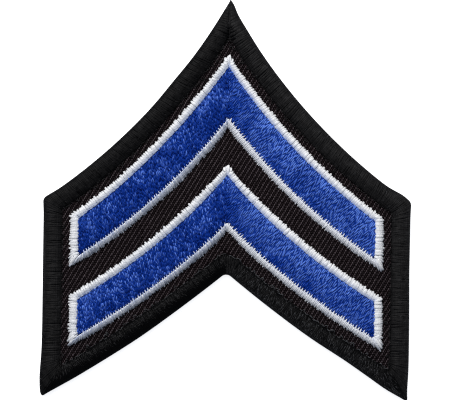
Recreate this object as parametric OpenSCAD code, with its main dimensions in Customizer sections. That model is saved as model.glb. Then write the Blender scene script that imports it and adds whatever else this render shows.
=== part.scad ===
// Embroidered chevron patch, lying on its back, in millimetres.
// +X is to the right, +Y towards the apex and +Z out of the face.
// The origin is on the surface that the patch lies on, under the middle of its outline.

/* [Patch outline] */
// Width across the two straight sides
patch_w = 76.2; // [64:0.1:96]
// Height of each straight side, from its shoulder corner to its bottom corner
side_h = 41; // [34:0.1:52]
// Rise of the apex above the shoulder corners
apex_rise = 41.6; // [34:0.1:50]
// Rise of the notch above the bottom corners
notch_rise = 26.3; // [20:0.1:32]
// How far each slanting top edge bows in from a straight line
top_bow = 3.3; // [0.5:0.1:5]
// How far each slanting bottom edge bows out from a straight line
bottom_bow = 1; // [0.5:0.1:3]
// Corner radius of the apex and of the two bottom corners
tip_r = 0.3; // [0.2:0.1:1.5]
// Corner radius of the shoulders
shoulder_r = 1.2; // [0.5:0.1:3]
// Corner radius of the notch
notch_r = 1.5; // [0.5:0.1:3]

/* [Ground cloth] */
// Thickness of the twill ground
ground_t = 1; // [0.8:0.1:2]

/* [Border] */
// Width of the overlocked border along the top edges and the sides
border_w = 4; // [3:0.1:5.5]
// Width of the border along the bottom edges
border_low_w = 3.6; // [3:0.1:5.5]
// Corner radius of the border's inner edge round the notch
border_notch_r = 3; // [1:0.1:5]
// Corner radius of the border's inner edge at its other corners
border_corner_r = 0.3; // [0.2:0.1:1.5]
// Height of the border's roll above the ground
border_over = 0.9; // [0.6:0.05:1.5]
// Thickness of the border's threads under the ground
border_under = 0.5; // [0.3:0.05:0.8]
// How far inside the border's outer edge the ground is cut off
cut_inset = 0.8; // [0.5:0.1:1.2]

/* [Chevrons] */
// Width of the ground that shows between the border and each end of a chevron
end_margin = 1.5; // [0.5:0.1:4]
// Most that a chevron's edges bow, on the way from the middle to the end
chevron_bow = 2; // [0.5:0.1:3]
// Width of the satin outline along a chevron's arms
outline_w = 1.5; // [0.8:0.1:2]
// Width of the satin outline across a chevron's ends
outline_end_w = 1.8; // [0.8:0.1:2.5]
// Height of the satin outline above the ground
outline_h = 0.75; // [0.4:0.05:1.2]
// Corner radius of the satin outline
outline_r = 0.2; // [0.1:0.05:0.5]
// Height of the fill above the ground, along its middle
fill_h = 0.6; // [0.4:0.05:1]
// Height of the fill above the ground, along its edges
fill_edge_h = 0.35; // [0.2:0.05:0.4]

/* [Hidden] */

// Gap left between pieces that touch on the real patch
gap = 0.05;

// Each chevron edge runs down the field of ground inside the border: its distance from the top of
// the field, as a share of the field's height on the centre line and at the chevrons' ends, and
// its bow as a share of chevron_bow
MID = 0;
END = 1;
BOW = 2;
upper_top = [0.075, 0.060, 1.00];
upper_bottom = [0.432, 0.408, 0.93];
lower_top = [0.600, 0.578, 0.90];
lower_bottom = [0.923, 0.915, 0.64];

// Border's section: steps round it, and the height of its widest line as a share of its thickness
roll_steps = 12;
roll_waist = 0.45;
// Satin outline's section: steps over its arch
arch_steps = 6;
// Fill's section: share of the way across, and share of the rise from its edges to its middle
ACROSS = 0;
RISE = 1;
dome = [[0, 0], [0.08, 0.5], [0.22, 0.85], [0.5, 1], [0.78, 0.85], [0.92, 0.5], [1, 0]];
// The fill's height at its two ends, as a share of its height elsewhere
end_rise = 0.7;

// Steps along each slanting edge and round each corner
border_edge_steps = 16;
border_corner_steps = 4;
chevron_edge_steps = 12;
chevron_corner_steps = 2;

ground_z = border_under;
ground_top = ground_z + ground_t;
border_t = ground_top + border_over;
stitch_z = ground_top + gap;
side_x = patch_w / 2;
end_x = side_x - border_w - end_margin;

// Plain helpers for numbers, points and lists
function mix(a, b, share) = a + (b - a) * share;
function unit(v) = v / norm(v);
function last(list) = list[len(list) - 1];
function flipped(list) = [for (i = [len(list) - 1:-1:0]) list[i]];
function mirrored(list) = [for (p = list) [-p.x, p.y]];

// A slanting edge is an arc, bowed down from a straight line: [centre x, centre y, radius]
RADIUS = 2;
function edge(mid_y, far_x, far_y, bow) =
    let (half = norm([far_x, mid_y - far_y]) / 2,
         radius = (half * half + bow * bow) / (2 * bow),
         up = [mid_y - far_y, far_x] / (2 * half))
    concat([far_x, mid_y + far_y] / 2 + up * (radius - bow), [radius]);

// An edge's height at x, and its direction there, going right
function edge_y(e, x) = e.y - sqrt(pow(e[RADIUS], 2) - pow(x - e.x, 2));
function edge_way(e, x) = unit([sqrt(pow(e[RADIUS], 2) - pow(x - e.x, 2)), x - e.x]);

// Points along an edge between two x, both left out
function edge_run(e, from_x, to_x, steps) =
    [for (i = [1:steps - 1])
        let (x = mix(from_x, to_x, i / steps))
        [x, edge_y(e, x)]];

// Points of a round corner at p, from one direction of travel to the next, after the first few
function corner(p, way_in, way_out, r, steps, first = 0) =
    let (turn = acos(way_in * way_out),
         side = unit(way_out - way_in * (way_in * way_out)),
         start = p - way_in * r * tan(turn / 2))
    [for (i = [first:steps])
        start + r * (sin(turn * i / steps) * way_in + (1 - cos(turn * i / steps)) * side)];

// A chevron shape is [top edge, bottom edge, x of its side, corner radii from apex to notch].
// Its right half, from the apex round to the notch
function half_outline(shape, edge_steps, corner_steps) =
    let (top = shape[0],
         bottom = shape[1],
         far_x = shape[2],
         r = shape[3],
         down = [0, -1],
         out = edge_way(top, 0),
         back = -edge_way(bottom, 0),
         apex = corner([0, edge_y(top, 0)], [out.x, -out.y], out,
                       r[0], corner_steps, corner_steps / 2),
         shoulder = corner([far_x, edge_y(top, far_x)], edge_way(top, far_x), down,
                           r[1], corner_steps),
         foot = corner([far_x, edge_y(bottom, far_x)], down, -edge_way(bottom, far_x),
                       r[2], corner_steps),
         notch = corner([0, edge_y(bottom, 0)], back, [back.x, -back.y],
                        r[3], corner_steps, corner_steps / 2),
         notch_half = mirrored(flipped(notch)))
    concat(apex,
           edge_run(top, last(apex).x, shoulder[0].x, edge_steps),
           shoulder,
           foot,
           edge_run(bottom, last(foot).x, notch_half[0].x, edge_steps),
           notch_half);

// The whole outline, clockwise from the apex
function outline(shape, edge_steps, corner_steps) =
    let (half = half_outline(shape, edge_steps, corner_steps),
         inner = [for (i = [1:len(half) - 2]) half[i]])
    concat(half, mirrored(flipped(inner)));

// A shape whose edges and side are moved in, square to themselves, with corner radii of its own
function moved_in(shape, top_in, bottom_in, side_in, radii) =
    [shape[0] + [0, 0, top_in], shape[1] - [0, 0, bottom_in], shape[2] - side_in, radii];

// The patch, with its shoulder corners at y = 0, its cloth, and the field of cloth inside the border
patch_top = edge(apex_rise, side_x, 0, top_bow);
patch_bottom = edge(notch_rise - side_h, side_x, -side_h, bottom_bow);
patch_shape = [patch_top, patch_bottom, side_x, [tip_r, shoulder_r, tip_r, notch_r]];
field_shape = moved_in(patch_shape, border_w, border_low_w, border_w,
                       [border_corner_r, border_corner_r, border_corner_r, border_notch_r]);
function cut_shape(inset) = moved_in(patch_shape, inset, inset, inset, patch_shape[3]);

// The chevrons, from the shares of the field
function field_y(x, share) = mix(edge_y(field_shape[0], x), edge_y(field_shape[1], x), share);
function band_edge(row) =
    edge(field_y(0, row[MID]), end_x, field_y(end_x, row[END]), row[BOW] * chevron_bow);
chevron_radii = [outline_r, outline_r, outline_r, outline_r];
upper_shape = [band_edge(upper_top), band_edge(upper_bottom), end_x, chevron_radii];
lower_shape = [band_edge(lower_top), band_edge(lower_bottom), end_x, chevron_radii];
function inside_outline(shape, clearance) =
    moved_in(shape, outline_w + clearance, outline_w + clearance, outline_end_w + clearance,
             chevron_radii);

patch_line = outline(patch_shape, border_edge_steps, border_corner_steps);
field_line = outline(field_shape, border_edge_steps, border_corner_steps);
patch_ys = [for (p = patch_line) p.y];
middle_y = (max(patch_ys) + min(patch_ys)) / 2;

// Triangles between the rings of a sweep, each ring with the same number of points
function skin(rings, points, closed) =
    [for (i = [0:rings - (closed ? 1 : 2)], j = [0:points - 1])
        let (a = i * points,
             b = ((i + 1) % rings) * points,
             k = (j + 1) % points)
        each [[a + j, a + k, b + k], [a + j, b + k, b + j]]];

// Triangles that close the first and last ring of a sweep, both convex
function caps(rings, points) =
    let (end = (rings - 1) * points)
    [for (j = [1:points - 2])
        each [[0, j + 1, j], [end, end + j, end + j + 1]]];

// Closed roll between two outlines, from its section as [share of the way in, height]
module roll(outer, inner, section) {
    points = [for (i = [0:len(outer) - 1], s = section)
        let (p = mix(outer[i], inner[i], s.x))
        [p.x, p.y, s.y]];
    polyhedron(points, skin(len(outer), len(section), true));
}

// Plain slab of the patch's outline, moved in by inset
module slab(inset, low, high) {
    translate([0, 0, low])
        linear_extrude(high - low)
            polygon(outline(cut_shape(inset), border_edge_steps, border_corner_steps));
}

// Moves a piece drawn from the shoulder line, so that the outline's middle is at the origin
module placed() {
    translate([0, -middle_y, 0]) children();
}

// Twill cloth, cut to shape inside the border
module ground() {
    color([0.06, 0.05, 0.06])
        placed() slab(cut_inset, ground_z, ground_top);
}

// Overlocked roll round the cloth's edge, flat where it lies, with a slot for the cloth
module border() {
    waist = border_t * roll_waist;
    section = [for (i = [0:roll_steps - 1])
        let (a = 360 * i / roll_steps)
        [(1 - cos(a)) / 2, max(0, waist + (border_t - waist) * sin(a))]];
    color([0.1, 0.1, 0.11])
        placed()
            difference() {
                roll(patch_line, field_line, section);
                slab(cut_inset - gap, ground_z - gap, ground_top + gap);
            }
}

// Arched satin outline all round a chevron
module satin_outline(shape) {
    outer = outline(shape, chevron_edge_steps, chevron_corner_steps);
    inner = outline(inside_outline(shape, 0), chevron_edge_steps, chevron_corner_steps);
    section = [for (i = [0:arch_steps])
        let (a = 180 * i / arch_steps)
        [(1 - cos(a)) / 2, stitch_z + outline_h * sin(a)]];
    color([0.93, 0.93, 0.95])
        placed() roll(outer, inner, section);
}

// One section of a fill, from a point on its top edge to the facing point on its bottom edge
function fill_section(high, low, rise) =
    let (over = [for (d = dome)
            let (p = mix(high, low, d[ACROSS]))
            [p.x, p.y, stitch_z + rise * mix(fill_edge_h, fill_h, d[RISE])]])
    concat([[high.x, high.y, stitch_z]], over, [[low.x, low.y, stitch_z]]);

// Domed pad of stitches inside a chevron's outline, lofted from its left end to its right end
module stitched_fill(shape) {
    half = half_outline(inside_outline(shape, gap), chevron_edge_steps, chevron_corner_steps);
    count = len(half) / 2;
    far = count - 1;
    upper_line = [for (i = [0:far]) half[i]];
    lower_line = [for (i = [0:far]) half[len(half) - 1 - i]];
    top = concat(mirrored(flipped(upper_line)), [for (i = [1:far]) upper_line[i]]);
    bottom = concat(mirrored(flipped(lower_line)), [for (i = [1:far]) lower_line[i]]);
    points = [for (i = [0:2 * far])
        each fill_section(top[i], bottom[i], abs(i - far) == far ? end_rise : 1)];
    faces = concat(skin(len(top), len(dome) + 2, false), caps(len(top), len(dome) + 2));
    color([0.1, 0.22, 0.62])
        placed() polyhedron(points, faces);
}

module upper_fill() stitched_fill(upper_shape);
module lower_fill() stitched_fill(lower_shape);
module upper_outline() satin_outline(upper_shape);
module lower_outline() satin_outline(lower_shape);

ground();
border();
upper_fill();
lower_fill();
upper_outline();
lower_outline();
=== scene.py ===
# Embroidered rank chevron patch: two blue chevrons outlined in white satin stitch, on black twill
# inside an overlocked border. Sizes are in millimetres, and each mesh is scaled to metres at the end.

import math

import bmesh
import bpy
import numpy as np
from mathutils import Matrix, Vector


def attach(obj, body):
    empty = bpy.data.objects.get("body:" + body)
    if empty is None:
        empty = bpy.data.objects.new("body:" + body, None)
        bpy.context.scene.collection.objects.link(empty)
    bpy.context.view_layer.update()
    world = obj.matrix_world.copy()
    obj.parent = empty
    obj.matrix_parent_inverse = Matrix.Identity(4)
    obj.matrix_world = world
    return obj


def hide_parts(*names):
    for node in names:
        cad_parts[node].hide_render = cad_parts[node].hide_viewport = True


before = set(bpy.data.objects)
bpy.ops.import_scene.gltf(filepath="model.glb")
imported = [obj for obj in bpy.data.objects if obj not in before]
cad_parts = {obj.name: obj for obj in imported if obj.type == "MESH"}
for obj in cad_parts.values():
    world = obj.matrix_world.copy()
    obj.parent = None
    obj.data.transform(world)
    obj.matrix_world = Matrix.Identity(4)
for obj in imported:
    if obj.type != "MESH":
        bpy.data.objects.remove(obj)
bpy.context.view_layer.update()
scene = bpy.context.scene
mm = 0.001

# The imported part's own sizes, which every piece here keeps to
patch = {
    "width": 76.2,
    "sideHeight": 41,
    "apexRise": 41.6,
    "notchRise": 26.3,
    "topBow": 3.3,
    "bottomBow": 1,
    "cornerRadii": (0.3, 1.2, 0.3, 1.5),  # apex, shoulder, foot, notch
    "borderWidth": 4,
    "lowBorderWidth": 3.6,
    "fieldRadii": (0.3, 0.3, 0.3, 3),
    "endMargin": 1.5,
    "chevronBow": 2,
    "outlineWidth": 1.5,
    "outlineEndWidth": 1.8,
    "chevronRadii": (0.2, 0.2, 0.2, 0.2),
    "clothLow": 0.5,
    "clothTop": 1.5,
    "clothInset": 0.8,
}

# Each chevron edge: its share of the way down the field at the middle and at the ends, and its bow
chevronEdges = {
    "upper": ((0.075, 0.06, 1), (0.432, 0.408, 0.93)),
    "lower": ((0.6, 0.578, 0.9), (0.923, 0.915, 0.64)),
}

# Steps along an edge and round a corner that each outline is drawn with
steps = {
    "measured": (16, 4),
    "facing": (200, 12),
    "cloth": (24, 4),
    "border": (40, 6),
    "outline": (30, 2),
    "fill": (24, 2),
}


# A slanting edge is an arc, bowed down from a straight line: centre x, centre y, radius
def bowedEdge(midY, farX, farY, bow):
    half = math.hypot(farX, midY - farY) / 2
    radius = (half * half + bow * bow) / (2 * bow)
    upX, upY = (midY - farY) / (2 * half), farX / (2 * half)
    return farX / 2 + upX * (radius - bow), (midY + farY) / 2 + upY * (radius - bow), radius


def edgeY(edge, x):
    return edge[1] - np.sqrt(edge[2] ** 2 - (x - edge[0]) ** 2)


def edgeWay(edge, x):
    run, rise = math.sqrt(edge[2] ** 2 - (x - edge[0]) ** 2), x - edge[0]
    size = math.hypot(run, rise)
    return run / size, rise / size


def roundCorner(point, wayIn, wayOut, radius, count, first=0):
    inward, outward = Vector(wayIn), Vector(wayOut)
    turn = math.acos(inward.dot(outward))
    across = (outward - inward * inward.dot(outward)).normalized()
    start = Vector(point) - inward * radius * math.tan(turn / 2)
    points = []
    for i in range(first, count + 1):
        angle = turn * i / count
        points.append(start + radius * (math.sin(angle) * inward + (1 - math.cos(angle)) * across))
    return points


# A shape is its top edge, bottom edge, half width and corner radii from the apex to the notch
def movedIn(shape, topIn, bottomIn, sideIn, radii):
    top, bottom, farX, _ = shape
    top, bottom = (*top[:2], top[2] + topIn), (*bottom[:2], bottom[2] - bottomIn)
    return top, bottom, farX - sideIn, radii


def halfOutline(shape, edgeSteps, cornerSteps):
    top, bottom, farX, radii = shape
    halfWay = cornerSteps // 2
    out, back = edgeWay(top, 0), tuple(-c for c in edgeWay(bottom, 0))
    up, down = (out[0], -out[1]), (back[0], -back[1])
    apex = roundCorner((0, edgeY(top, 0)), up, out, radii[0], cornerSteps, halfWay)
    shoulder = roundCorner((farX, edgeY(top, farX)), edgeWay(top, farX), (0, -1), radii[1], cornerSteps)
    footOut = tuple(-c for c in edgeWay(bottom, farX))
    foot = roundCorner((farX, edgeY(bottom, farX)), (0, -1), footOut, radii[2], cornerSteps)
    notch = roundCorner((0, edgeY(bottom, 0)), back, down, radii[3], cornerSteps, halfWay)
    notch = [Vector((-p.x, p.y)) for p in reversed(notch)]

    def run(edge, start, end):
        xs = np.linspace(start, end, edgeSteps + 1)[1:-1]
        return [Vector((x, edgeY(edge, x))) for x in xs]

    upper = run(top, apex[-1].x, shoulder[0].x)
    lower = run(bottom, foot[-1].x, notch[0].x)
    return apex + upper + shoulder + foot + lower + notch


# The whole outline, clockwise from the apex, with the patch's middle at y = 0
def outlineOf(shape, edgeSteps, cornerSteps):
    half = halfOutline(shape, edgeSteps, cornerSteps)
    whole = half + [Vector((-p.x, p.y)) for p in reversed(half[1:-1])]
    return [Vector((p.x, p.y - middleY)) for p in whole]


sideX = patch["width"] / 2
patchTop = bowedEdge(patch["apexRise"], sideX, 0, patch["topBow"])
patchBottom = bowedEdge(
    patch["notchRise"] - patch["sideHeight"], sideX, -patch["sideHeight"], patch["bottomBow"]
)
patchShape = (patchTop, patchBottom, sideX, patch["cornerRadii"])
fieldShape = movedIn(
    patchShape, patch["borderWidth"], patch["lowBorderWidth"], patch["borderWidth"], patch["fieldRadii"]
)
middleY = 0
patchHeights = [p.y for p in outlineOf(patchShape, *steps["measured"])]
middleY = (max(patchHeights) + min(patchHeights)) / 2
endX = sideX - patch["borderWidth"] - patch["endMargin"]


def bandEdge(row):
    def fieldY(x, share):
        return edgeY(fieldShape[0], x) * (1 - share) + edgeY(fieldShape[1], x) * share

    return bowedEdge(fieldY(0, row[0]), endX, fieldY(endX, row[1]), row[2] * patch["chevronBow"])


chevronShapes = {
    name: (bandEdge(top), bandEdge(bottom), endX, patch["chevronRadii"])
    for name, (top, bottom) in chevronEdges.items()
}


def insideOutline(shape, gap):
    wide = patch["outlineWidth"] + gap
    return movedIn(shape, wide, wide, patch["outlineEndWidth"] + gap, shape[3])


def unit(vectors):
    return vectors / np.maximum(np.linalg.norm(vectors, axis=-1, keepdims=True), 1e-9)


# Flat ways turned a quarter round to the left
def leftOf(ways):
    return np.stack([-ways[..., 1], ways[..., 0]], axis=-1)


# Flat ways turned to the left by an angle each
def turnedBy(ways, angles):
    return ways * np.cos(angles)[:, None] + leftOf(ways) * np.sin(angles)[:, None]


# Flat points or ways with heights given to them
def atHeight(flat, heights):
    heights = np.broadcast_to(heights, flat.shape[:-1])
    return np.concatenate([flat, heights[..., None]], axis=-1)


# The right half of an outline as points, with its length up to each and up to its four corners
def halfLine(shape):
    points = np.array([(p.x, p.y - middleY) for p in halfOutline(shape, *steps["facing"])])
    length = np.concatenate([[0], np.cumsum(np.linalg.norm(np.diff(points, axis=0), axis=1))])
    top, bottom, farX, _ = shape
    ends = ((top, 0), (top, farX), (bottom, farX), (bottom, 0))
    corners = np.array([(x, edgeY(edge, x)) for edge, x in ends]) - (0, middleY)
    lengths = [length[np.argmin(np.linalg.norm(points - corner, axis=1))] for corner in corners]
    lengths[0], lengths[3] = 0, length[-1]
    return points, length, corners, lengths


# Facing points on the right halves of two outlines. Towards the apex, shoulder, foot and notch
# they turn evenly, over the length that blend gives for each, so that what runs between fans out
def facing(outerShape, innerShape, blend):
    outer, outerLength, outerCorners, outerAt = halfLine(outerShape)
    inner, innerLength, innerCorners, innerAt = halfLine(innerShape)
    outerKnots, innerKnots = [], []
    sides = ((outerKnots, outerAt, 1), (innerKnots, innerAt, -1))
    for i in range(3):
        way = outerCorners[i + 1] - outerCorners[i]
        if i == 1:
            near = far = way / np.linalg.norm(way)
        else:
            edge = outerShape[i // 2]
            near, far = [np.array(edgeWay(edge, corner[0])) for corner in outerCorners[i : i + 2]]
            near, far = (near, far) if near @ way > 0 else (-near, -far)
        startBack = (innerCorners[i] - outerCorners[i]) @ near
        endBack = (outerCorners[i + 1] - innerCorners[i + 1]) @ far
        for knots, lengths, sign in sides:
            knots += [lengths[i], lengths[i] + blend[i] + max(sign * startBack, 0)]
            knots.append(lengths[i + 1] - blend[i + 1] - max(sign * endBack, 0))
    along = np.linspace(0, outerAt[3], 4000)
    facingAlong = np.interp(along, [*outerKnots, outerAt[3]], [*innerKnots, innerAt[3]])
    middle = (along + facingAlong) / 2

    def at(run):
        a, b = np.interp(run, middle, along), np.interp(run, middle, facingAlong)
        outerPoints = np.stack([np.interp(a, outerLength, outer[:, i]) for i in (0, 1)], axis=-1)
        innerPoints = np.stack([np.interp(b, innerLength, inner[:, i]) for i in (0, 1)], axis=-1)
        return outerPoints, innerPoints

    corners = [np.interp(place, along, middle) for place in outerAt]
    return at, corners


# The edges or corner points among what a bmesh operator made
def picked(items, kind):
    return [item for item in items if isinstance(item, kind)]


# One plain thread along X, from 0 to 1, that the stitches are bent copies of
def threadTemplate(rings, sides):
    bm = bmesh.new()
    bmesh.ops.create_circle(bm, segments=sides, radius=1)
    upright = Matrix.Rotation(math.radians(90), 3, "Y")
    bmesh.ops.rotate(bm, verts=bm.verts[:], cent=(0, 0, 0), matrix=upright)
    tip = bm.edges[:]
    for _ in range(rings - 1):
        grown = bmesh.ops.extrude_edge_only(bm, edges=tip)["geom"]
        tip = picked(grown, bmesh.types.BMEdge)
        moved = picked(grown, bmesh.types.BMVert)
        bmesh.ops.translate(bm, verts=moved, vec=(1 / (rings - 1), 0, 0))
    bmesh.ops.holes_fill(bm, edges=bm.edges[:], sides=0)
    bmesh.ops.recalc_face_normals(bm, faces=bm.faces[:])
    bm.verts.index_update()
    places = np.array([v.co for v in bm.verts])
    around = np.arctan2(places[:, 2], places[:, 1]) / (2 * math.pi) % 1
    loops, turns = [], []
    for face in bm.faces:
        ids = [v.index for v in face.verts]
        turn = around[ids]
        if len(ids) == 4 and turn.max() - turn.min() > 0.5:
            turn = np.where(turn < 0.5, turn + 1, turn)
        loops += ids
        turns += list(turn)
    made = {
        "ring": np.round(places[:, 0] * (rings - 1)).astype(int),
        "across": places[:, 1],
        "rise": places[:, 2],
        "loops": np.array(loops),
        "turns": np.array(turns),
        "sizes": np.array([len(face.verts) for face in bm.faces]),
    }
    bm.free()
    return made


# Bends a copy of the thread along each path. aside is level and square to the thread. The half
# sizes, tones and tint may differ from ring to ring
def layThreads(sides, paths, aside, halfWide, halfHigh, tones, tint=0):
    count, rings = paths.shape[:2]
    template = threadTemplate(rings, sides)
    ring, loops = template["ring"], template["loops"]

    def atPoints(values):
        return np.broadcast_to(values, (count, rings))[:, ring]

    ahead = unit(np.gradient(paths, axis=1))
    aside = unit(np.broadcast_to(aside, paths.shape))
    above = unit(np.cross(ahead, aside))
    points = paths[:, ring]
    points += aside[:, ring] * (template["across"] * atPoints(halfWide))[..., None]
    points += above[:, ring] * (template["rise"] * atPoints(halfHigh))[..., None]
    strides = np.linalg.norm(np.diff(paths, axis=1, prepend=paths[:, :1]), axis=2)
    runs = np.cumsum(strides, axis=1)[:, ring[loops]]
    turns = np.broadcast_to(template["turns"], runs.shape)
    return {
        "points": points.reshape(-1, 3),
        "loops": (loops + np.arange(count)[:, None] * len(ring)).ravel(),
        "sizes": np.tile(template["sizes"], count),
        "uv": np.stack([runs, turns], axis=-1).reshape(-1, 2),
        "tone": atPoints(np.reshape(tones, (count, -1))).ravel(),
        "along": np.tile(ring / (rings - 1), count),
        "tint": atPoints(tint).ravel(),
    }


# A pad or core that bmesh operators made, as the same kind of part
def padPart(bm, tone):
    bmesh.ops.recalc_face_normals(bm, faces=bm.faces[:])
    bm.verts.index_update()
    points = np.array([v.co for v in bm.verts])
    loops = np.array([v.index for face in bm.faces for v in face.verts])
    sizes = np.array([len(face.verts) for face in bm.faces])
    bm.free()
    return {
        "points": points,
        "loops": loops,
        "sizes": sizes,
        "uv": points[loops][:, :2],
        "tone": np.full(len(points), tone),
        "along": np.full(len(points), 0.5),
        "tint": np.zeros(len(points)),
    }


def addObject(name, data):
    added = bpy.data.objects.new(name, data)
    scene.collection.objects.link(added)
    return added


def makePiece(name, parts, finish, replaced=None):
    def joined(key):
        return np.concatenate([part[key] for part in parts])

    starts = np.cumsum([0] + [len(part["points"]) for part in parts[:-1]])
    points, sizes = joined("points") * mm, joined("sizes")
    loops = np.concatenate([part["loops"] + start for part, start in zip(parts, starts)])
    mesh = bpy.data.meshes.new(name)
    mesh.vertices.add(len(points))
    mesh.vertices.foreach_set("co", points.astype(np.float32).ravel())
    mesh.loops.add(len(loops))
    mesh.loops.foreach_set("vertex_index", loops.astype(np.int32))
    mesh.polygons.add(len(sizes))
    loopStarts = np.concatenate([[0], np.cumsum(sizes)[:-1]]).astype(np.int32)
    mesh.polygons.foreach_set("loop_start", loopStarts)
    mesh.update(calc_edges=True)
    mesh.shade_smooth()
    for key in ("tone", "along", "tint"):
        values = joined(key).astype(np.float32)
        mesh.attributes.new(key, "FLOAT", "POINT").data.foreach_set("value", values)
    uv = joined("uv").astype(np.float32)
    mesh.uv_layers.new(name="threadRun").data.foreach_set("uv", uv.ravel())
    mesh.materials.append(finish)
    piece = addObject(name, mesh)
    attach(piece, "root")
    if replaced:
        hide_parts(replaced)
    print(f"{name}: {int((sizes - 2).sum())} triangles")
    return piece


# Sweeps a closed section along facing pairs of points. A section point is its share of the way
# from the outer line to the inner one, and its height
def sweepBand(outer, inner, section, closed=True):
    bm = bmesh.new()
    ring = bmesh.ops.create_circle(bm, segments=len(section), radius=1)["verts"]
    edges = firstEdges = bm.edges[:]
    for vert, (share, height) in zip(ring, section):
        vert.co = (share, 0, height)

    def station(i):
        across = inner[i] - outer[i]
        size = across.length
        return Matrix((
            (across.x, -across.y / size, 0, outer[i].x),
            (across.y, across.x / size, 0, outer[i].y),
            (0, 0, 1, 0),
            (0, 0, 0, 1),
        ))

    place = station(0)
    bmesh.ops.transform(bm, matrix=place, verts=ring)
    for i in range(1, len(outer)):
        grown = bmesh.ops.extrude_edge_only(bm, edges=edges)["geom"]
        verts = picked(grown, bmesh.types.BMVert)
        edges = picked(grown, bmesh.types.BMEdge)
        following = station(i)
        bmesh.ops.transform(bm, matrix=following @ place.inverted(), verts=verts)
        place = following
    if closed:
        bmesh.ops.bridge_loops(bm, edges=firstEdges + edges)
    else:
        bmesh.ops.holes_fill(bm, edges=bm.edges[:], sides=0)
    return bm


# Wraps a socket, so that shader maths is written as an expression
class Wire:
    def __init__(self, finish, socket):
        self.finish = finish
        self.socket = socket

    # Another output of the same node
    def output(self, index):
        return Wire(self.finish, self.socket.node.outputs[index])

    def __add__(self, other):
        return self.finish.maths("ADD", self, other)

    def __sub__(self, other):
        return self.finish.maths("SUBTRACT", self, other)

    def __rsub__(self, other):
        return self.finish.maths("SUBTRACT", other, self)

    def __mul__(self, other):
        return self.finish.maths("MULTIPLY", self, other)

    def __truediv__(self, other):
        return self.finish.maths("DIVIDE", self, other)

    def __pow__(self, other):
        return self.finish.maths("POWER", self, other)


# One material and its nodes
class Finish:
    def __init__(self, name):
        self.material = bpy.data.materials.new(name)
        self.material.use_nodes = True
        self.tree = self.material.node_tree
        self.tree.nodes.clear()

    # Adds a node of a kind, with its settings first and then the values or wires of its sockets
    def node(self, kind, settings=None, values=None, output=0):
        made = self.tree.nodes.new("ShaderNode" + kind)
        for key, value in (settings or {}).items():
            setattr(made, key, value)
        for key, value in (values or {}).items():
            if isinstance(value, Wire):
                self.tree.links.new(value.socket, made.inputs[key])
            else:
                made.inputs[key].default_value = value
        return Wire(self, made.outputs[output]) if made.outputs else made

    def maths(self, operation, *values):
        return self.node("Math", {"operation": operation}, dict(enumerate(values)))

    def attribute(self, name):
        return self.node("Attribute", {"attribute_name": name}, output=2)

    def noise(self, vector, scale, detail):
        return self.node("TexNoise", {}, {"Vector": vector, "Scale": scale, "Detail": detail})

    def ramp(self, look, shade):
        colour = self.node("ValToRGB", {}, {"Fac": shade})
        stops = colour.socket.node.color_ramp.elements
        stops.new(0.5)
        for stop, key in zip(stops, ("dark", "middle", "light")):
            stop.color = (*look[key], 1)
        return colour

    def tinted(self, share, colour, tint):
        return self.node("Mix", {"data_type": "RGBA"}, {0: share, 6: colour, 7: (*tint, 1)}, output=2)

    def bumped(self, height, strength, depth):
        return self.node("Bump", {}, {"Height": height, "Strength": strength, "Distance": depth * mm})

    def finish(self, values):
        shader = self.node("BsdfPrincipled", {}, values)
        self.node("OutputMaterial", {}, {"Surface": shader})
        return self.material


# What all dyed threads share
threadKind = {
    "strandHeight": 0.6,
    "fibreHeight": 0.4,
    "bumpDepth": 0.04,
    "roughnessSpread": 0.2,
    "sheenRoughness": 0.4,
}


# A dyed thread: two strands twisted, fine fibres along them, and some stitches paler than others.
# The tone attribute also carries painted light and shade, and the tint painted reflection, shade and
# highlight
def threadFinish(name, look):
    made = Finish(name)
    along = made.node("SeparateXYZ", {}, {0: made.node("UVMap", {"uv_map": "threadRun"})})
    turn = along.output(1)
    tone = made.attribute("tone")
    twist = made.maths("SINE", (along / look["twistPitch"] + turn * 2) * (2 * math.pi))
    strand = twist * 0.5 + 0.5
    streaks = turn * look["streakTurns"] + along
    fibreRun = made.node("CombineXYZ", {}, {0: along * look["streakRun"], 1: streaks, 2: tone * 60})
    fibres = made.noise(fibreRun, 1, 2)
    patches = made.noise(made.node("TexCoord", {}, output=3), look["patchScale"], 3) * 2.2 - 0.6
    shade = tone * look["toneShare"] + strand * look["twistShare"]
    shade = shade + (fibres * 2 - 0.5) * look["fibreShare"]
    shade = shade + patches * look["patchShare"]
    # A painted highlight at the middle of each stitch, darker towards its ends; only the twill's floats
    # have it
    if look["paintedCrownHighlight"]:
        crown = made.attribute("along") * 2 - 1
        shade = shade + (1 - crown * crown) ** 2 * look["paintedCrownHighlight"]
    colour = made.ramp(look, shade)
    # The tint mixes in painted reflection, shade and highlight
    if look["tint"]:
        colour = made.tinted(made.attribute("tint"), colour, look["tint"])
    height = strand * threadKind["strandHeight"] + fibres * threadKind["fibreHeight"]
    return made.finish({
        "Base Color": colour,
        "Roughness": fibres * threadKind["roughnessSpread"] + look["roughness"],
        "Normal": made.bumped(height, look["bump"], threadKind["bumpDepth"]),
        "Specular IOR Level": look["shine"],
        "Specular Tint": (*look["shineTint"], 1),
        "Sheen Weight": look["sheen"],
        "Sheen Roughness": threadKind["sheenRoughness"],
        "Sheen Tint": (*look["sheenTint"], 1),
    })
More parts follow.
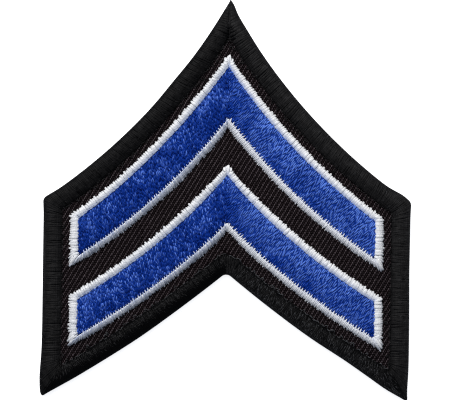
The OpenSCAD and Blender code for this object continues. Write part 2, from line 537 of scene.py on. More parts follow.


# A column for each kind of thread. The white's dark stop is a painted shade colour and its tint a
# painted blue reflection and shade. The black's tint is the paler grey of lint and painted highlight
# on the loose fibres and looper loops
threadNames = ("whiteSatinThread", "blueEmbroideryThread", "blackOverlockThread", "blackTwillYarn")
threadLooks = {
    "dark": ((0.3, 0.33, 0.38), (0.0005, 0.006, 0.1), (0.0014, 0.0014, 0.0017), (0.0015, 0.0008, 0.001)),
    "middle": ((0.78, 0.79, 0.81), (0.0035, 0.029, 0.26), (0.0104, 0.0101, 0.0105), (0.0205, 0.014, 0.016)),
    "light": ((0.93, 0.93, 0.93), (0.11, 0.225, 0.73), (0.029, 0.0282, 0.0292), (0.1, 0.081, 0.088)),
    "tint": ((0.2, 0.32, 0.7), None, (0.085, 0.088, 0.095), None),
    "twistPitch": (0.5, 0.5, 0.45, 0.4),
    "toneShare": (0.55, 0.65, 1, 0.22),
    "twistShare": (0.06, 0.08, 0.04, 0.05),
    "fibreShare": (0.3, 0.1, 0.38, 0.08),
    "paintedCrownHighlight": (0, 0, 0, 0.55),
    "streakTurns": (5, 6, 2, 3),
    "streakRun": (0.8, 1.5, 2.5, 1.5),
    "patchShare": (0.12, 0.36, 0.36, 0.08),
    "patchScale": (120, 300, 1000, 130),
    "bump": (0.5, 0.3, 0.5, 0.6),
    "roughness": (0.3, 0.25, 0.4, 0.5),
    "shine": (0.7, 0.6, 0.05, 0.08),
    "shineTint": ((1, 1, 1), (0.12, 0.32, 1), (1, 1, 1), (1, 0.95, 0.97)),
    "sheen": (0.1, 0.03, 0.01, 0.01),
    "sheenTint": ((1, 1, 1), (0.2, 0.4, 1), (0.9, 0.92, 1), (1, 0.92, 0.95)),
}
whiteThread, blueThread, blackThread, twillYarn = [
    threadFinish(name, {key: values[column] for key, values in threadLooks.items()})
    for column, name in enumerate(threadNames)
]
print("thread finishes made")

# Twill: upright warp yarns that float over three wefts and dip under the fourth
twill = {
    "dark": (0.0018, 0.0008, 0.0011),
    "middle": (0.0045, 0.0026, 0.0031),
    "light": (0.016, 0.011, 0.0125),
    # The yarns' raised middles are painted lighter, a painted highlight
    "paintedRidgeHighlight": 0.35,
    "lintShare": 0.2,
    "lintScale": 2500,
    "patchShare": 0.2,
    "patchScale": 130,
    "roughness": 0.65,
    "bumpDepth": 0.1,
    "warpPitch": 0.244,
    "weftPitch": 0.408,
    "columns": 160,  # each way from the middle, and the rows too
    "rows": 60,
    "underBorder": 0.35,
    "underStitches": 0.7,
    "floatLength": 0.64,
    "dotLength": 0.36,
    "dotTone": -1.55,
    "stations": (0, 0.3, 0.7, 1),
    "halfWide": (0.085, 0.17, 0.17, 0.085),
    "halfHigh": (0.0525, 0.075, 0.075, 0.0525),
    "crown": 0.17,
    "sunk": 0.08,
    "tuck": 0.08,
    "seed": 11,
}


def twillFinish():
    made = Finish("blackTwillWeave")
    place = made.node("TexCoord", {}, output=3)
    x = made.node("SeparateXYZ", {}, {0: place})
    y = x.output(1)
    warp = x / (twill["warpPitch"] * mm)
    yarn = made.maths("FLOOR", warp)
    across = warp - yarn - 0.5
    rowPhase = (y / (twill["weftPitch"] * mm) - yarn) / 4
    phase = rowPhase - made.maths("FLOOR", rowPhase)
    # Each yarn is painted lighter along its raised middle, a painted highlight; the bump follows the same
    # ridge
    ridge = (1 - across * across * 4) * made.maths("SINE", phase * math.pi)
    lint = made.noise(place, twill["lintScale"], 3)
    patches = made.noise(place, twill["patchScale"], 3)
    shade = ridge * twill["paintedRidgeHighlight"] + lint * twill["lintShare"] + patches * twill["patchShare"]
    return made.finish({
        "Base Color": made.ramp(twill, shade),
        "Roughness": lint * 0.2 + twill["roughness"],
        "Normal": made.bumped(ridge + lint * 0.3, 0.9, twill["bumpDepth"]),
        "Specular IOR Level": 0.03,
    })


def makeGround():
    inset = patch["clothInset"]
    shape = movedIn(patchShape, inset, inset, inset, patch["cornerRadii"])
    bm = bmesh.new()
    corners = [bm.verts.new((p.x, p.y, patch["clothLow"])) for p in outlineOf(shape, *steps["cloth"])]
    grown = bmesh.ops.extrude_face_region(bm, geom=[bm.faces.new(corners)])["geom"]
    thick = patch["clothTop"] - twill["tuck"] - patch["clothLow"]
    bmesh.ops.translate(bm, verts=picked(grown, bmesh.types.BMVert), vec=(0, 0, thick))
    ground = makePiece("twillGround", [padPart(bm, 0.2)], twillFinish(), "ground")
    ground.data.shade_flat()
    return ground


# Whether points lie between a shape's edges, moved out by room
def within(shape, x, y, room=0):
    top, bottom, farX, _ = movedIn(shape, -room, -room, -room, None)
    high, low = [edgeY(edge, np.minimum(np.abs(x), farX)) - middleY for edge in (top, bottom)]
    return (np.abs(x) < farX) & (y < high) & (y > low)


def makeFloats():
    rng = np.random.default_rng(twill["seed"])
    across, down = twill["warpPitch"], twill["weftPitch"]
    columns, rows = [np.arange(-twill[key], twill[key] + 1) for key in ("columns", "rows")]
    columns, rows = np.meshgrid(columns, rows)
    x = (columns + 0.5).ravel() * across
    y = ((columns + rows * 4).ravel() + 2) * down
    shown = within(fieldShape, x, y, twill["underBorder"])
    for shape in chevronShapes.values():
        shown &= ~within(shape, x, y, -twill["underStitches"])
    x, y = x[shown], y[shown]
    # Halfway between the floats of each warp yarn, a weft shows as a dimmer dot
    floating = len(x)
    x, y = np.tile(x, 2), np.concatenate([y, y + 2 * down])
    count = len(x)
    share = np.array(twill["stations"])
    length = np.repeat((twill["floatLength"], twill["dotLength"]), floating)
    half = length / 2 * rng.uniform(0.85, 1.1, count)
    lean = rng.normal(0, 0.05, count)
    reach = (share * 2 - 1) * half[:, None]
    x = x[:, None] + rng.normal(0, 0.015, (count, 1)) + reach * lean[:, None]
    y = y[:, None] + rng.normal(0, 0.04, (count, 1)) + reach
    base = patch["clothTop"] - twill["tuck"] - twill["sunk"]
    lift = twill["crown"] * rng.uniform(0.6, 1.15, (count, 1))
    paths = np.stack([x, y, base + lift * np.sin(math.pi * share)], axis=-1)
    tones = rng.uniform(0, 1, count) ** 1.2 + np.repeat((0, twill["dotTone"]), floating)
    threads = layThreads(4, paths, (-1, 0, 0), twill["halfWide"], twill["halfHigh"], tones)
    return makePiece("twillFloats", [threads], twillYarn)


# Where the hand-guided edge isn't true: the place, what it is moved by, and how far round it
edgeQuirks = (
    (0.6, 40.6, 0.24, 0.34, 1.3),
    (3.4, 36, 0.09, 0.05, 3),
    (-11.4, 24.5, -0.13, 0.1, 3.5),
    (-37.5, 0.3, -0.12, 0.16, 1.6),
    (36.4, 1, 0.26, 0.42, 1.9),
    (-38.1, -11, 0.12, 0, 5),
    (-38.1, -20.5, 0.09, 0, 4),
    (38.1, -12, -0.13, 0, 6),
    (-38.1, -37.5, -0.38, 0, 3.2),
    (-38.4, -41.3, 0.24, 0.1, 0.6),
    (-18, -28.5, 0.06, -0.1, 5),
    (38.1, -39.5, -0.22, 0, 2.5),
    (33.5, -38.6, -0.1, -0.16, 2.2),
    (24.5, -33, 0.13, 0.2, 4),
)


def uneven(points):
    moved = np.array(points, dtype=float)
    for x, y, alongX, alongY, reach in edgeQuirks:
        away = ((moved[:, 0] - x) ** 2 + (moved[:, 1] - y) ** 2) / (2 * reach * reach)
        moved = moved + np.exp(-away)[:, None] * (alongX, alongY)
    return moved


# Overlocked border: a padded roll with threads wrapped round it from the inner edge to the back,
# the looper's chain along the inner edge, and loose fibres. Tones are given for each arm's upper,
# side and lower border, and for the inner and outer side of its roll. These tones are painted light
# and shade: the lower left border is painted darkest where it faces away from the light, and the
# tones across each roll are painted light and shade that set how bright its inner and outer sides
# look. The threads are also darker near the foot
overlock = {
    "top": 2.4,
    "waist": 1.08,
    "pitch": 0.27,
    "halfWide": 0.24,
    "halfHigh": 0.07,
    "coreReach": 0.494,
    "threadReach": 0.505,
    "innerReach": 0.49,
    "slant": 0.5,
    "slantFrom": 6,
    "slantUntil": 4,
    "blend": (0, 2.2, 1.5, 1.2),
    "seamTurn": 16,
    "seamReach": 9,
    "turns": (12, 36, 60, 84, 108, 132, 156, 180, 208, 236, 304, 348),  # the bends, in degrees
    "wander": 0.05,
    "crumple": {1: 0.05, -1: 0.035},
    "tones": {1: (0.07, 0.06, -0.14), -1: (-0.12, -0.03, -0.61)},
    "paintedRollLightAndShade": {
        1: ((-0.05, 0.05), (-0.06, 0.13), (-0.2, 0.17)),
        -1: ((0, 0), (0.12, -0.08), (-0.26, 0.16)),
    },
    "toneSpread": 0.1,
    "footTone": -0.14,
    "footReach": 2.5,
    "coreTone": 0.1,
    "seed": 7,
}


def rollHeight(angle, thin):
    rise = overlock["top"] - overlock["waist"]
    return np.maximum(thin, overlock["waist"] + (rise - thin) * np.sin(angle))


def makeBorder():
    rng = np.random.default_rng(overlock["seed"])
    outer = [Vector(point) for point in uneven(outlineOf(patchShape, *steps["border"]))]
    inner = outlineOf(fieldShape, *steps["border"])
    thin = overlock["halfHigh"]
    turns = np.radians(overlock["turns"])
    heights = rollHeight(turns, thin * 1.3) - thin * 0.2
    section = list(zip(0.5 + overlock["coreReach"] * np.cos(turns), heights))
    parts = [padPart(sweepBand(outer, inner, section), overlock["coreTone"])]
    at, corners = facing(patchShape, fieldShape, overlock["blend"])
    count, rings = int(corners[3] / overlock["pitch"]), len(turns)
    roundRoll = (turns - turns[0]) / (turns[-1] - turns[0])
    for side in (1, -1):
        run = (np.arange(count) + 0.5 + rng.normal(0, 0.08, count)) * corners[3] / count
        roots, tips = at(run)
        roots = uneven(roots * (side, 1)) * (side, 1)
        way = tips - roots
        beside = leftOf(unit(way))
        # Near the apex the threads keep the border's width, turned towards level, and stop at the seam
        nearApex = np.clip(1 - run / overlock["seamReach"], 0, 1)
        ways = np.array([edgeWay(patchTop, x) for x in np.abs(roots[:, 0])])
        turned = np.radians(overlock["seamTurn"] * nearApex + rng.normal(0, 1.5, count))
        level = turnedBy(ways[:, ::-1] * (1, -1), -turned)
        early = run < corners[1] / 2
        way = np.where(early[:, None], level * patch["borderWidth"], way)
        lean = overlock["slant"] * side * np.clip(run / overlock["slantFrom"], 0, 1)
        lean *= run < corners[1] - overlock["slantUntil"]
        way = way + beside * (lean + rng.normal(0, 0.08, count))[:, None]
        tips = roots + way
        crossing = np.where(tips[:, 0] < 0, roots[:, 0] / np.maximum(roots[:, 0] - tips[:, 0], 1e-6), 1)
        first = np.clip(crossing, 0.04, 1)
        start = np.arccos(np.clip((first - 0.5) / overlock["innerReach"], -1, 1))
        start = np.maximum(start, turns[0])[:, None]
        turn = start + roundRoll * (2 * math.pi - 2 * start)
        share = 0.5 + overlock["threadReach"] * np.cos(turn)
        onTop = np.clip(np.sin(turn), 0, 1)
        waves = np.sin(np.stack([turn, turn * 2], axis=1))
        wander = (rng.normal(0, overlock["wander"], (count, 2, 1)) * waves).sum(axis=1)
        wander += rng.normal(0, overlock["crumple"][side], (count, rings)) * onTop
        flat = roots[:, None] + way[:, None] * share[..., None] + beside[:, None] * wander[..., None]
        loose = np.minimum(rng.normal(0, 0.015, (count, 1)) * onTop, 0.03)
        paths = atHeight(flat * (side, 1), rollHeight(turn, thin) + loose)
        paths[first < 0.97, 0, 2] -= 0.15
        # Each thread leans and widens with the space between its neighbours, so that fans stay closed
        aside = np.gradient(paths, axis=0) * (1, 1, 0)
        spread = np.clip(np.linalg.norm(aside, axis=2) / overlock["pitch"], 0.5, 2.5)
        wide = overlock["halfWide"] * spread * rng.uniform(0.8, 1.1, (count, 1))
        stretch = (run > corners[1]).astype(int) + (run > corners[2])
        # Painted light and shade: tones for each stretch of border and across the roll
        tones = np.array(overlock["tones"][side])[stretch]
        tones += overlock["toneSpread"] * rng.uniform(-0.5, 0.5, count)
        tones += overlock["footTone"] * np.exp(-(((run - corners[2]) / overlock["footReach"]) ** 2))
        innerTone, outerTone = np.array(overlock["paintedRollLightAndShade"][side])[stretch].T[..., None]
        tones = tones[:, None] + innerTone * share + outerTone * (1 - share)
        parts.append(layThreads(5, paths, aside, wide, thin, tones))
        if side == 1:
            parts.append(apexTuft(rng))
        parts.append(looperChain(rng, at, corners, side))
        parts.append(looseFibres(rng, at, corners, side))
    return makePiece("overlockBorder", parts, blackThread, "border")


# The tuft that closes the apex: threads drawn up to it, where both sides' threads run out
tuft = {
    "threads": 15,
    "rings": 8,
    "halfWidth": 0.95,
    "tipAside": 0.05,
    "below": 2,
    "length": 1.93,
    "low": 1.25,
    "domed": 0.75,
    "fall": 0.55,
    "narrowing": 0.45,
}


def apexTuft(rng):
    count = tuft["threads"]
    share = np.linspace(0, 1, tuft["rings"])
    spread = np.linspace(-1, 1, count)[:, None]
    x = spread * tuft["halfWidth"] * (1 - share) ** 1.1 + tuft["tipAside"] * share
    y = edgeY(patchTop, 0) - middleY - tuft["below"] + tuft["length"] * share - 0.1 * np.abs(spread)
    height = tuft["low"] + tuft["domed"] * np.sqrt(1 - spread**2 * 0.8)
    height = height * (1 - share**2 * tuft["fall"]) + rng.normal(0, 0.03, (count, 1))
    height[:, 0] -= 0.3
    wide = overlock["halfWide"] * (1 - tuft["narrowing"] * share)
    paths = np.stack([x, y, height], axis=-1)
    return layThreads(5, paths, (1, 0, 0), wide, overlock["halfHigh"], rng.uniform(0, 0.8, count))


# Slack loops of the looper thread, one after the other along the border's inner edge
chain = {
    "pitch": 0.55,
    "ends": (1, 0.4),
    "reach": (0.4, 0.95),
    "bow": 0.35,
    "aside": (-0.12, 0.35),
    "low": 1.62,
    "rise": 0.12,
    "thick": 0.1,
    "taper": (0.5, 0.9, 1, 1, 0.9, 0.5),
}


def looperChain(rng, at, corners, side):
    share = np.linspace(0, 1, len(chain["taper"]))
    arch = np.sin(math.pi * share)
    starts = np.arange(chain["ends"][0], corners[3] - chain["ends"][1], chain["pitch"])
    count = len(starts)
    starts = starts + rng.normal(0, 0.08, count)
    run = starts[:, None] + rng.uniform(*chain["reach"], (count, 1)) * share
    outer, inner = at(np.minimum(run, corners[3] - 0.02))
    bow = arch * rng.normal(0, chain["bow"], (count, 1)) - rng.uniform(*chain["aside"], (count, 1))
    flat = inner + unit(inner - outer) * bow[..., None]
    height = chain["low"] + chain["rise"] * arch + rng.normal(0, 0.03, (count, 1))
    paths = atHeight(flat * (side, 1), height)
    aside = atHeight(leftOf(unit(np.gradient(paths, axis=1))), 0)
    low = run[:, 0] > corners[2]
    # On the lower borders the loops are painted lighter and paler, a painted highlight where light catches
    # them, more on the right side
    tint = np.where(low, rng.uniform(0.1, 0.7, count) + 0.15 * side, 0)[:, None]
    tones = np.where(low, rng.uniform(0.3, 0.8, count), rng.uniform(0, 0.3, count))
    thick = np.array(chain["taper"]) * chain["thick"]
    return layThreads(4, paths, aside, thick, thick, tones, tint)


# Short fibres that stand off the roll, most of them on the lower edges
fuzz = {
    "count": {1: 1050, -1: 700},
    "lowShare": 0.9,
    "across": {1: (0.05, 0.87, 1.6), -1: (0.4, 0.55, 1)},  # least share, most added, its crowding
    "reach": (0.4, 1.1),
    "drift": (0.2, 0.12),
    # The fibres' paler tint is partly their lint colour and partly painted highlight, much stronger on the
    # right side
    "tint": {1: 0.65, -1: 0.15},
    "thick": 0.06,
    "taper": (0.4, 1, 1, 0.4),
}


def looseFibres(rng, at, corners, side):
    count = fuzz["count"][side]
    share = np.linspace(0, 1, len(fuzz["taper"]))
    arch = np.sin(math.pi * share)
    low = rng.uniform(0, 1, count) < fuzz["lowShare"]
    run = np.where(low, rng.uniform(*corners[2:], count), rng.uniform(1.5, corners[2], count))
    outer, inner = at(run)
    outer = uneven(outer * (side, 1)) * (side, 1)
    way = inner - outer
    size = np.linalg.norm(way, axis=1, keepdims=True)
    least, added, crowding = fuzz["across"][side]
    across = least + added * rng.uniform(0, 1, (count, 1)) ** crowding
    reach = rng.uniform(*fuzz["reach"], (count, 1)) / size
    shares = np.clip(across + reach * (share - 0.5), 0.01, 0.99)
    drift, driftSpread = fuzz["drift"]
    drift = rng.normal(drift * side, driftSpread, (count, 1)) * (share - 0.5)
    drift += rng.normal(0, 0.04, (count, 1)) * arch
    beside = leftOf(way) / size
    flat = outer[:, None] + way[:, None] * shares[..., None] + beside[:, None] * drift[..., None]
    angle = np.arccos(np.clip((shares - 0.5) / overlock["innerReach"], -1, 1))
    height = rollHeight(angle, overlock["halfHigh"]) + overlock["halfHigh"] * 0.9
    height += 0.05 * arch - 0.04
    paths = atHeight(flat * (side, 1), np.minimum(height, overlock["top"] + 0.06))
    thick = np.array(fuzz["taper"]) * fuzz["thick"]
    # Paler tint: lint colour and painted highlight, fainter towards the notch
    tint = rng.uniform(0, 1, count) ** 2.4 * fuzz["tint"][side]
    tint = (tint * np.clip((corners[3] - run) / 5, 0.3, 1))[:, None]
    tones = rng.uniform(-0.1, 0.8, count)
    return layThreads(3, paths, atHeight(beside, 0)[:, None], thick, thick, tones, tint)


# How far up the stitching strays from the true chevron edges: places across the patch, and the
# rise there of each chevron's top edge and bottom edge
strayAt = (-31, -24, -12, -6, -2, 0.3, 2, 5, 12, 24, 31)
strayUp = {
    "upper": (
        (-0.15, -0.22, 0.28, 0.46, 0.5, 0.5, 0.18, 0.17, 0.02, -0.04, 0),
        (0, 0, 0.02, 0.22, 0.18, 0.48, 0.35, 0.36, 0.14, 0.08, 0),
    ),
    "lower": (
        (0.1, 0.15, 0.33, 0.42, 0.58, 0.55, 0.33, 0.32, 0.42, 0.36, 0.25),
        (0.05, 0.05, 0.04, 0.05, 0.12, 0.62, 0.36, 0.18, 0.19, 0.18, 0.1),
    ),
}


# How far down a shape points are, from 0 at its top edge to 1 at its bottom edge
def shareDown(shape, points):
    flat = np.minimum(np.abs(points[..., 0]), shape[2])
    high, low = [edgeY(edge, flat) - middleY for edge in shape[:2]]
    return np.clip((high - points[..., 1]) / (high - low), 0, 1)


def strayed(name, points):
    moved = np.array(points, dtype=float)
    down = shareDown(chevronShapes[name], moved)
    topUp, bottomUp = [np.interp(moved[..., 0], strayAt, rises) for rises in strayUp[name]]
    moved[..., 1] += topUp * (1 - down) + bottomUp * down
    return moved


def strayedLine(name, line):
    return [Vector(point) for point in strayed(name, line)]


# White satin stitch: threads laid side by side over a padding, fanned out at the corners. Three
# values or rows are for the top, the end and the bottom, and two are for the top and the end
satin = {
    "pitch": (0.5, 0.46, 0.31),
    "halfWide": (0.4, 0.36, 0.2),
    "halfHigh": (0.058, 0.055, 0.07),
    "low": 1.52,
    "innerLow": 1.9,
    "top": 2.3,
    "core": (0.18, 0.8),
    "coreSunk": (0.05, 0.01),  # below the stitches' ends, and under the stitches
    "blend": (0.8, 0.6, 0.9, 0.5),
    "outerTeeth": ((-0.22, 0.16), (-0.18, 0.18), (-0.13, 0.25)),
    "innerTeeth": ((0.12, 0.26), (0, 0.12), (-0.36, 0.55)),
    "alternate": {"outerTeeth": (0.3, 0.2, 0.2), "innerTeeth": (0.3, 0.2, 0.55)},
    "leftPull": 0.2,
    "leftLean": 0.22,
    "leftRagged": 1.3,
    "apexPull": 0.24,
    "apexReach": 2.5,
    "crowded": 0.5,
    # Painted light and shade: the right arm's threads and the tops are painted lighter, and the bottoms
    # darker, the left arm's bottom darkest
    "tones": {1: (0.72, 0.8, 0.25), -1: (0.18, 0.4, -0.36)},
    "toneSpread": (0.3, 0.25, 0.65),
    # The tints are painted: a painted blue reflection and shade towards the inner ends, and painted
    # blue-grey shade over the bottoms, most on the left arm
    "tintAt": (0, 0.5, 0.75, 1),  # shares of the way in, for each arm's tints
    "tint": {
        1: ((0, 0, 0.2, 0.7), (0.02, 0, 0.02, 0.15), (0.08, 0.08, 0.15, 0.35)),
        -1: ((0, 0, 0.14, 0.52), (0.02, 0, 0.02, 0.15), (0.08, 0.16, 0.42, 0.55)),
    },
    "riseAt": (0, 0.08, 0.25, 0.5, 0.77, 1),  # the same, for the arch's shares of its height
    "rise": ((0, 0.55, 0.92, 1, 0.75, 0.25), (0, 0.45, 0.9, 1, 0.89, 0.3)),
    "bottomRise": {1: (0, 0.36, 0.7, 0.97, 0.79, 0.2), -1: (0, 0.48, 0.74, 0.9, 0.88, 0.2)},
    "stations": (0, 0.06, 0.16, 0.34, 0.6, 0.8, 0.92, 1),
    "thin": (0.6, 0.9, 1, 1, 1, 1, 0.8, 0.5),  # the height and the widths at the stations
    "taper": (
        (0.34, 0.52, 0.7, 0.9, 1, 1, 1, 0.85),
        (0.4, 0.6, 0.76, 0.95, 1, 1, 0.95, 0.8),
        (0.45, 0.7, 0.92, 1, 0.95, 0.75, 0.45, 0.15),
    ),
    "seed": {"upper": 21, "lower": 22},
}


# The padding under the stitches, as high as the lowest of their arches
def satinCore(name, shape, inside, crest):
    rises = (*satin["rise"], *satin["bottomRise"].values())
    start, end = satin["core"]
    deep, under = satin["coreSunk"]
    section = [(start, satin["low"] - deep)]
    for share in np.linspace(start, end, 9):
        rise = min(np.interp(share, satin["riseAt"], row) for row in rises)
        foot = satin["low"] + (satin["innerLow"] - satin["low"]) * share
        section.append((share, foot + crest * rise - under))
    section.append((end, satin["low"] - deep))
    outer, inner = [strayedLine(name, outlineOf(line, *steps["outline"])) for line in (shape, inside)]
    return padPart(sweepBand(outer, inner, section), 0.6)


def makeOutline(name):
    rng = np.random.default_rng(satin["seed"][name])
    shape = chevronShapes[name]
    inside = insideOutline(shape, 0)
    crest = satin["top"] - satin["halfHigh"][0] - (satin["low"] + satin["innerLow"]) / 2
    parts = [satinCore(name, shape, inside, crest)]
    at, corners = facing(shape, inside, satin["blend"])
    places = []
    for i, pitch in enumerate(satin["pitch"]):
        length = corners[i + 1] - corners[i]
        number = round(length / pitch)
        places.append(corners[i] + (np.arange(number) + 0.5) * length / number)
    kind = np.repeat((0, 1, 2), [len(stretch) for stretch in places])
    places = np.concatenate(places)

    def perKind(values):
        return np.array(values)[kind]

    pitches = perKind(satin["pitch"])
    count = len(places)
    for side in (1, -1):
        outer, inner = at(places + rng.normal(0, 0.08, count) * pitches)
        way = inner - outer
        size = np.linalg.norm(way, axis=1)
        beside = leftOf(way) / size[:, None]
        # Teeth of uneven length at both ends. Every second thread stops short where they crowd
        odd = np.arange(count) % 2 == 1
        teeth = []
        for key in ("outerTeeth", "innerTeeth"):
            least, most = perKind(satin[key]).T
            ragged = rng.uniform(0, 1, count)
            ragged += (odd - ragged) * perKind(satin["alternate"][key])
            teeth.append(least + (most - least) * ragged)
        if side < 0:
            teeth[1] -= satin["leftPull"] * (kind == 2)
            teeth[0] *= satin["leftRagged"]
        teeth[0] -= satin["apexPull"] * np.exp(-((places / satin["apexReach"] - 1) ** 2))
        low, high = -teeth[0] / size, 1 + teeth[1] / size
        crowdedIn, crowdedOut = [
            odd & (np.linalg.norm(np.gradient(ends, axis=0), axis=1) < satin["crowded"] * pitches)
            for ends in (inner, outer)
        ]
        high = np.where(crowdedIn, rng.uniform(0.5, 0.75, count), high)[:, None]
        low = np.where(crowdedOut, rng.uniform(0.25, 0.5, count), low)[:, None]
        share = low + (high - low) * np.array(satin["stations"])
        lean = satin["leftLean"] * (kind == 2) * (side < 0)
        slant = ((lean + rng.normal(0, 0.06, count)) * size)[:, None]
        bow = rng.normal(0, 0.03, (count, 1)) * np.sin(math.pi * share)
        flat = outer[:, None] + way[:, None] * share[..., None]
        flat += beside[:, None] * (slant * (share - 0.5) + bow)[..., None]
        inPart = np.clip(share, 0, 1)

        def acrossRows(places, rows):
            return np.stack([np.interp(inPart, places, row) for row in rows])[kind, np.arange(count)]

        height = satin["low"] + (satin["innerLow"] - satin["low"]) * inPart
        height += crest * acrossRows(satin["riseAt"], (*satin["rise"], satin["bottomRise"][side]))
        height += np.clip(rng.normal(-0.01, 0.02, (count, 1)), -0.05, 0.02)
        height[crowdedIn, -1] -= 0.2
        height[crowdedOut, 0] -= 0.2
        paths = atHeight(strayed(name, flat * (side, 1)), height)
        aside = atHeight(beside * (side, 1), 0)[:, None]
        wide = (perKind(satin["halfWide"]) * rng.uniform(0.85, 1.1, count))[:, None]
        wide = wide * perKind(satin["taper"])
        thick = perKind(satin["halfHigh"])[:, None] * np.array(satin["thin"])
        # Painted tints and tones: painted reflection, light and shade across each band and by arm
        tint = rng.uniform(0.6, 1.1, (count, 1)) * acrossRows(satin["tintAt"], satin["tint"][side])
        tones = perKind(satin["tones"][side]) + perKind(satin["toneSpread"]) * rng.uniform(0, 1, count)
        parts.append(layThreads(6, paths, aside, wide, thick, tones, tint))
    print(f"{name} outline: {2 * count} stitches")
    return makePiece(name + "SatinOutline", parts, whiteThread, name + "_outline")


# Blue fill: rows of short stitches over a domed padding, each arm with its own slant
fill = {
    "rowPitch": 0.35,
    "angles": {1: 52, -1: 104},
    "lengths": {1: (1, 2.3), -1: (0.6, 1.35)},
    "leastLength": 0.3,
    "under": 0.28,
    "halfWide": {1: 0.2, -1: 0.165},
    "halfHigh": 0.1,
    "taper": (0.5, 0.95, 1, 0.95, 0.5),
    "thin": (0.8, 1, 1, 1, 0.8),
    "crown": 0.12,
    "dive": 0.1,
    "low": 1.55,
    "edgeRise": 0.38,
    "middleRise": 0.6,
    "domeAcross": (0, 0.08, 0.22, 0.5, 0.78, 0.92, 1),
    "dome": (0, 0.5, 0.85, 1, 0.85, 0.5, 0),
    "coreEdge": 0.02,
    "coreSunk": (0.03, 0.13),  # below the stitches' ends, and under the stitches
    "tilt": {1: 10, -1: 20},
    "waver": {1: 10, -1: 12},
    # Painted light: the right arm's stitches are painted lighter than the left's, a painted sheen, both
    # arms are darker near the apex, and each fill is painted darker towards its bottom edge as painted
    # shade of its dome
    "paintedArmSheen": {"upper": {1: 0.61, -1: -0.38}, "lower": {1: 0.54, -1: -0.16}},
    "apexTone": {1: -0.34, -1: -0.1},
    "apexReach": 5,
    "drift": {1: 0, -1: 0.06},
    "toneSpread": {1: 0.34, -1: 1.25},
    "paintedDomeShade": 0.5,
    "seed": {"upper": 31, "lower": 32},
}


def domeHeight(across):
    rise = np.interp(across, fill["domeAcross"], fill["dome"])
    return fill["low"] + fill["edgeRise"] + (fill["middleRise"] - fill["edgeRise"]) * rise


# Rows of stitches over one arm, each as its start and end
def fillRows(rng, shape, side):
    angle = math.radians(fill["angles"][side])
    way = np.array((math.cos(angle), math.sin(angle)))
    beside = leftOf(way)
    samples = np.arange(-70, 70, 0.05)
    stitches = []
    for row in np.arange(-70, 70, fill["rowPitch"]):
        row = row + rng.normal(0, 0.03)
        x, y = (beside * row + way * samples[:, None]).T
        inside = (x * side > -0.1) & within(shape, x, y)
        edges = np.flatnonzero(np.diff([0, *inside, 0]))
        for first, last in zip(edges[::2], edges[1::2]):
            low, high = samples[first], samples[last - 1]
            spot = low - rng.uniform(0, 1)
            while spot < high - 0.15:
                size = rng.uniform(*fill["lengths"][side])
                start, end = max(spot, low), min(spot + size, high)
                if end - start > fill["leastLength"]:
                    stitches.append((beside * row + way * start, beside * row + way * end))
                spot += size
    return stitches


# The padding under the stitches, a dome from end to end
def fillCore(name, shape):
    half = [Vector((p.x, p.y - middleY)) for p in halfOutline(shape, *steps["fill"])]
    lines = half[: len(half) // 2], half[len(half) // 2 :][::-1]
    lines = [strayedLine(name, [Vector((-p.x, p.y)) for p in line[:0:-1]] + line) for line in lines]
    edge = fill["coreEdge"]
    deep, under = fill["coreSunk"]
    section = [(edge, fill["low"] - deep)]
    for across in fill["domeAcross"]:
        section.append((edge + (1 - 2 * edge) * across, domeHeight(across) - under))
    section.append((1 - edge, fill["low"] - deep))
    return padPart(sweepBand(*lines, section, closed=False), 0.3)


def makeFill(name):
    rng = np.random.default_rng(fill["seed"][name])
    shape = insideOutline(chevronShapes[name], -fill["under"])
    rows = [fillRows(rng, shape, side) for side in (1, -1)]
    starts, ends = np.swapaxes(rows[0] + rows[1], 0, 1)
    count = len(starts)
    share = np.linspace(0, 1, len(fill["taper"]))
    arch = np.sin(math.pi * share)
    middle, reach = (starts + ends) / 2, (ends - starts) / 2

    def perArm(values):
        return np.repeat((values[1], values[-1]), [len(row) for row in rows])

    reach = turnedBy(reach, np.radians(rng.normal(0, 1, count) * perArm(fill["waver"])))
    beside = leftOf(unit(reach))
    flat = middle[:, None] + reach[:, None] * (share * 2 - 1)[:, None]
    flat += beside[:, None] * (rng.normal(0, 0.03, (count, 1)) * arch)[..., None]
    lift = fill["crown"] * rng.uniform(0.2, 1.2, (count, 1)) * arch
    across = shareDown(shape, flat)
    height = domeHeight(across) - fill["halfHigh"] - 0.04 + lift - fill["dive"] * (1 - arch) ** 3
    paths = atHeight(strayed(name, flat), height)
    tilt = np.radians(rng.normal(0, 1, count) * perArm(fill["tilt"]))
    aside = atHeight(beside * np.cos(tilt)[:, None], np.sin(tilt))[:, None]
    wide = (perArm(fill["halfWide"]) * rng.uniform(0.7, 1.1, count))[:, None] * np.array(fill["taper"])
    thick = fill["halfHigh"] * np.array(fill["thin"])
    # Painted sheen by arm and near the apex, and painted dome shade towards the bottom edge
    tones = perArm(fill["paintedArmSheen"][name]) + perArm(fill["toneSpread"]) * rng.uniform(0, 1, count)
    tones += fill["paintedDomeShade"] * (0.5 - across.mean(axis=1))
    tones += perArm(fill["apexTone"]) * np.exp(-((middle[:, 0] / fill["apexReach"]) ** 2))
    # Slow waves of tone, a painted sheen where the stitches lie more or less steeply
    for _ in range(5):
        heading, phase = rng.uniform(0, 2 * math.pi, 2)
        far = middle @ (math.cos(heading), math.sin(heading)) / rng.uniform(5, 12)
        tones += perArm(fill["drift"]) * np.sin(2 * math.pi * far + phase)
    parts = [fillCore(name, shape), layThreads(5, paths, aside, wide, thick, tones)]
    print(f"{name} fill: {count} stitches")
    return makePiece(name + "FillStitches", parts, blueThread, name + "_fill")


ground = makeGround()
floats = makeFloats()
border = makeBorder()
outlines = [makeOutline(name) for name in chevronEdges]
fills = [makeFill(name) for name in chevronEdges]
print("pieces made")

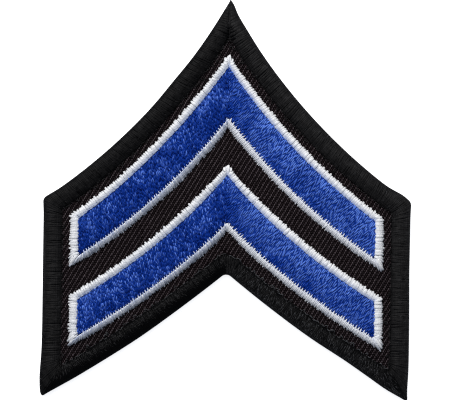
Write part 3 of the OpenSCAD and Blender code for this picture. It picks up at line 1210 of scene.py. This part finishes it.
# White studio floor, soft light from above and from the apex's side, and the camera overhead
studio = {
    "floorSize": 6,
    "floorGlow": 0.8,
    "skyColour": (0.8, 0.9, 1.1),
    "skyStrength": 0.2,
    "overhead": ((-0.05, 0.34, 0.62), (0.6, 0.4), 1.2),  # place, size, power
    "key": ((-0.18, 0.48, 0.4), (0.4, 0.25), 3.9, (1, 0.985, 0.96)),
    "lens": 120,
    "sensor": 36,
    "pictureWidth": 93.43,
    "lookAt": (-0.46, 0.07, 1.5),
    "roll": 0.744,
}


def makeStage():
    bm = bmesh.new()
    bmesh.ops.create_grid(bm, x_segments=1, y_segments=1, size=studio["floorSize"] / 2)
    mesh = bpy.data.meshes.new("studioFloor")
    bm.to_mesh(mesh)
    bm.free()
    floorFinish = Finish("whiteStudioFloor").finish({
        "Base Color": (0.9, 0.9, 0.9, 1),
        "Roughness": 0.9,
        "Emission Color": (1, 1, 1, 1),
        "Emission Strength": studio["floorGlow"],
    })
    mesh.materials.append(floorFinish)
    floor = addObject("studioFloor", mesh)
    floor.visible_glossy = False
    world = bpy.data.worlds.new("studioWorld")
    world.use_nodes = True
    sky = world.node_tree.nodes["Background"]
    sky.inputs["Color"].default_value = (*studio["skyColour"], 1)
    sky.inputs["Strength"].default_value = studio["skyStrength"]
    scene.world = world


def areaLight(name, place, size, power, colour=(1, 1, 1)):
    light = bpy.data.lights.new(name, "AREA")
    light.shape = "RECTANGLE"
    light.size, light.size_y = size
    light.energy = power
    light.color = colour
    lamp = addObject(name, light)
    lamp.location = place
    lamp.rotation_mode = "QUATERNION"
    lamp.rotation_quaternion = Vector(place).to_track_quat("Z", "Y")


def makeCamera():
    data = bpy.data.cameras.new("camera")
    data.lens = studio["lens"]
    data.sensor_width = studio["sensor"]
    camera = addObject("camera", data)
    x, y, z = studio["lookAt"]
    height = z + studio["pictureWidth"] * studio["lens"] / studio["sensor"]
    camera.location = (x * mm, y * mm, height * mm)
    camera.rotation_euler = (0, 0, math.radians(studio["roll"]))
    scene.camera = camera


makeStage()
areaLight("overheadSoftbox", *studio["overhead"])
areaLight("keySoftbox", *studio["key"])
makeCamera()
scene.view_settings.view_transform = "Standard"
# Threads a pixel wide stay sharp: no denoising, and a narrow pixel filter
scene.cycles.use_denoising = False
scene.cycles.filter_width = 1.15
print("studio made")
